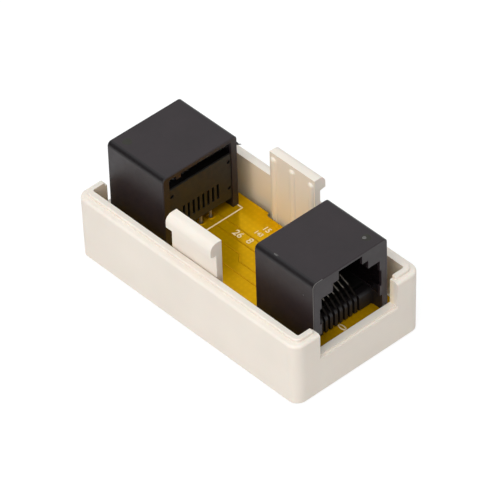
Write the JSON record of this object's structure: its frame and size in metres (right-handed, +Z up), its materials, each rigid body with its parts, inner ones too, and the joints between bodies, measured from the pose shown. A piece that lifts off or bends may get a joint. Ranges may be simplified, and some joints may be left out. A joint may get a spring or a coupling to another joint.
{
  "type": "rj45 inline coupler",
  "caption": "Inline network cable coupler without its cover: a moulded tray with snap arms holds a circuit board that joins a modular socket at each end.",
  "frame": {"origin": "centre of the tray's underside", "axes": "+X runs along the coupler towards socket a, +Z points up out of the open tray"},
  "size_m": [0.0504, 0.0266, 0.0207],
  "materials": {
    "tray_plastic": "warm white moulded plastic, fine satin texture",
    "board_laminate": "amber lacquer over glass laminate, half gloss",
    "socket_plastic": "black moulded plastic, satin",
    "carrier_plastic": "black moulded plastic, satin",
    "contact_plating": "thin bright plating over a springy copper alloy",
    "solder": "smooth tin solder"
  },
  "bodies": {
    "root": {"tray": "tray_plastic", "circuit_board": "board_laminate", "housing_a": "socket_plastic", "housing_b": "socket_plastic", "carrier_a": "carrier_plastic", "carrier_b": "carrier_plastic", "solder_a": "solder", "solder_b": "solder", "contact_a1": "contact_plating", "contact_a2": "contact_plating", "contact_a3": "contact_plating", "contact_a4": "contact_plating", "contact_a5": "contact_plating", "contact_a6": "contact_plating", "contact_a7": "contact_plating", "contact_a8": "contact_plating", "contact_b1": "contact_plating", "contact_b2": "contact_plating", "contact_b3": "contact_plating", "contact_b4": "contact_plating", "contact_b5": "contact_plating", "contact_b6": "contact_plating", "contact_b7": "contact_plating", "contact_b8": "contact_plating"}
  },
  "joints": []
}
